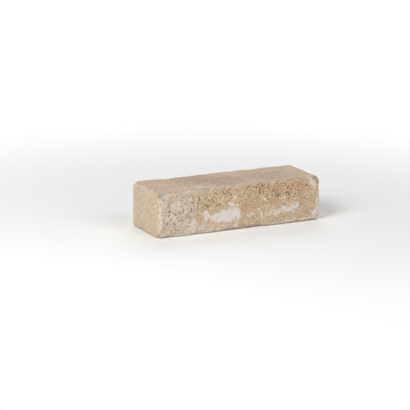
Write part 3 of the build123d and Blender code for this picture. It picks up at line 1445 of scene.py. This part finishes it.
    def hollows(self, ground: Ground, colour: Socket) -> Socket:
        """Darkens the pits of the mesh and the pinholes, somewhat more where the pigment is warm: partly
        their darker material and partly painted shade.

        Args:
            ground: What the layers share.
            colour: The colour below.

        Returns:
            The colour with this layer.
        """
        desk = ground.desk
        dark = desk.between(0.62, 0.77, desk.attribute(Mask.WARM))
        grit = desk.product(desk.noise(ground.place, 900.0, 2.0, 0.6), 0.6)
        depth = desk.math("SUBTRACT", desk.math("ADD", desk.attribute(Mask.PIT), grit), 0.3)
        # Painted shade in the pits and pinholes, with their darker material
        colour = desk.lay(colour, self.pit_dark_and_shade, desk.window(depth, 0.14, 0.64), dark)
        return desk.lay(colour, self.pit_dark_and_shade, ground.holes, dark)

    def fine_relief(self, ground: Ground) -> Socket:
        """Adds the relief that is finer than the mesh.

        The sand grains, where the surface has opened, the dust and the unevenness of the skin
        are added up, and the pinholes are sunk into them.

        Args:
            ground: What the layers share.

        Returns:
            The normal for the surface.
        """
        desk = ground.desk
        shown = desk.between(0.15, 1.0, ground.opened)
        height = desk.product(ground.grain.outputs["Height"], shown)
        dust = desk.product(desk.noise(ground.place, 1500.0, 3.0, 0.6), 0.35)
        skin = desk.product(desk.noise(ground.place, 260.0, 3.0, 0.6), 1.1)
        height = desk.math("ADD", desk.math("ADD", height, dust), skin)
        height = desk.math("SUBTRACT", height, desk.product(ground.holes, 1.8))
        inputs = {"Strength": self.relief_strength, "Distance": self.relief, "Height": height}
        return desk.add("ShaderNodeBump", inputs).outputs["Normal"]


@dataclass(frozen=True)
class ViewPoint:
    """The camera of the photograph, found from the outline of the block in it.

    Attributes:
        turn: Angle in degrees from facing the show face squarely, towards the left end.
        dip: Angle in degrees by which it looks down.
        roll: Angle in degrees by which it leans.
        distance: From the camera to the middle of the block, along the view.
        focal_pixels: Focal length in pixels of the photograph.
        frame_pixels: Side of the photograph.
        middle_pixel: Where the middle of the block shows in the photograph.
        sensor: Width of the sensor in millimetres.
        clip: Nearest and farthest distance that the camera sees.
    """

    turn: float = 27.70
    dip: float = 14.27
    roll: float = 0.75
    distance: float = 5.485
    focal_pixels: float = 2500.0
    frame_pixels: int = 410
    middle_pixel: tuple[float, float] = (226.63, 200.60)
    sensor: float = 36.0
    clip: tuple[float, float] = (0.1, 100.0)

    def build(self, target: Vector) -> bpy.types.Object:
        """Sets the camera so that the target shows at its pixel.

        Args:
            target: The middle of the block.

        Returns:
            The camera, made the scene's own.
        """
        data = bpy.data.cameras.new("photograph_view")
        data.sensor_width = self.sensor
        data.lens = self.focal_pixels / self.frame_pixels * self.sensor
        data.clip_start, data.clip_end = self.clip
        ahead = -direction(-self.turn, self.dip)
        turn = math.radians(self.turn)
        level = Vector((math.cos(turn), -math.sin(turn), 0.0))
        leaning = Matrix.Rotation(-math.radians(self.roll), 3, ahead)
        right = leaning @ level
        up = leaning @ level.cross(ahead)
        metres = self.distance / self.focal_pixels
        across = (self.middle_pixel[0] - self.frame_pixels / 2) * metres
        above = (self.frame_pixels / 2 - self.middle_pixel[1]) * metres
        camera = link_object("photograph_view", data)
        camera.matrix_world = Matrix((right, up, -ahead)).transposed().to_4x4()
        camera.location = target - ahead * self.distance - right * across - up * above
        bpy.context.scene.camera = camera
        return camera


@dataclass(frozen=True)
class SoftLamp:
    """A large square lamp that faces the block.

    Attributes:
        name: What the lamp is for.
        azimuth: Where it stands, in degrees from the front towards the right.
        elevation: How high it stands, in degrees.
        distance: How far from the middle of the block.
        side: Side of the square.
        power: Its power in watts.
    """

    name: str
    azimuth: float
    elevation: float
    distance: float
    side: float
    power: float

    def build(self, target: Vector) -> None:
        """Places the lamp and turns it to the target.

        Args:
            target: The middle of the block.
        """
        data = bpy.data.lights.new(self.name, "AREA")
        data.shape, data.size, data.energy = "SQUARE", self.side, self.power
        away = direction(self.azimuth, self.elevation)
        lamp = link_object(self.name, data)
        lamp.location = target + away * self.distance
        lamp.rotation_euler = away.to_track_quat("Z", "Y").to_euler()


@dataclass(frozen=True)
class Studio:
    """A pale floor, a white surround and soft lamps.

    Attributes:
        floor_radius: Radius of the round floor.
        fade: Distances from the block between which the floor turns into the surround.
        floor: Colour of the floor.
        ambient: Strength of the surround's light on the block.
        lamps: The lamps.
        rings: Rings of quads in the floor.
        spokes: Quads in each ring.
    """

    floor_radius: float = 30.0
    fade: tuple[float, float] = (0.25, 1.1)
    floor: Colour = screen_colour(250, 250, 249)
    ambient: float = 0.21
    lamps: tuple[SoftLamp, ...] = (
        SoftLamp("key", azimuth=-62.0, elevation=38.0, distance=2.4, side=1.1, power=37.0),
        SoftLamp("front", azimuth=20.0, elevation=34.0, distance=2.6, side=1.6, power=18.5),
        SoftLamp("rear", azimuth=150.0, elevation=40.0, distance=2.6, side=1.8, power=22.0),
    )
    rings: int = 12
    spokes: int = 64

    def build(self, target: Vector) -> None:
        """Builds the floor, the surround and the lamps.

        Args:
            target: The middle of the block.
        """
        self.build_floor()
        self.build_surround()
        for lamp in self.lamps:
            lamp.build(target)

    def build_floor(self) -> None:
        """Makes the floor: rings of quads whose radius grows with the square of their number."""
        radius = np.linspace(0.02, 1.0, self.rings + 1) ** 2 * self.floor_radius
        angle = np.arange(self.spokes) / self.spokes * 2.0 * math.pi
        across, along = np.outer(radius, np.cos(angle)), np.outer(radius, np.sin(angle))
        positions = np.stack([across, along, np.zeros_like(across)], axis=2).reshape(-1, 3)
        ring, spoke = np.meshgrid(np.arange(self.rings), np.arange(self.spokes), indexing="ij")
        first = ring * self.spokes + spoke
        second = ring * self.spokes + (spoke + 1) % self.spokes
        quads = np.stack([first, first + self.spokes, second + self.spokes, second], axis=2)
        floor = mesh_object("floor", positions, quads.reshape(-1, 4))
        floor.data.materials.append(self.floor_material())

    def floor_material(self) -> bpy.types.Material:
        """Makes the floor's finish, which a camera sees fade into the white surround.

        Returns:
            The material.
        """
        material = bpy.data.materials.new("pale_floor")
        desk = NodeDesk.of(material)
        place = desk.add("ShaderNodeTexCoord").outputs["Object"]
        distance = desk.add("ShaderNodeVectorMath", {0: place}, operation="LENGTH").outputs["Value"]
        seen = desk.add("ShaderNodeLightPath").outputs["Is Camera Ray"]
        far = desk.product(desk.window(distance, *self.fade), seen)
        plain = desk.add("ShaderNodeBsdfDiffuse", {"Color": self.floor}).outputs["BSDF"]
        white = desk.add("ShaderNodeEmission", {"Color": WHITE}).outputs["Emission"]
        blend = desk.add("ShaderNodeMixShader", {"Fac": far, 1: plain, 2: white})
        desk.add("ShaderNodeOutputMaterial", {"Surface": blend.outputs["Shader"]})
        return material

    def build_surround(self) -> None:
        """Makes the world: white to the camera and a plain soft light to the block."""
        world = bpy.data.worlds.new("surround")
        desk = NodeDesk.of(world)
        path = desk.add("ShaderNodeLightPath").outputs
        seen = desk.math("MAXIMUM", path["Is Camera Ray"], path["Is Glossy Ray"])
        light = {"Color": WHITE, "Strength": desk.between(self.ambient, 1.0, seen)}
        background = desk.add("ShaderNodeBackground", light)
        desk.add("ShaderNodeOutputWorld", {"Surface": background.outputs["Background"]})
        bpy.context.scene.world = world


def main() -> None:
    """Builds the camera, the studio and the block, and reports each piece."""
    logging.basicConfig(level=logging.INFO, format="%(name)s: %(message)s")
    bpy.context.scene.view_settings.view_transform = "Standard"
    low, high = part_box("block")
    middle = (low + high) / 2
    ViewPoint().build(middle)
    Studio().build(middle)
    block = TumbledBlock().build()
    block.data.materials.append(ConcreteFinish().material())
    LOG.info("%s: %d quads", block.name, len(block.data.polygons))


if __name__ == "__main__":
    main()
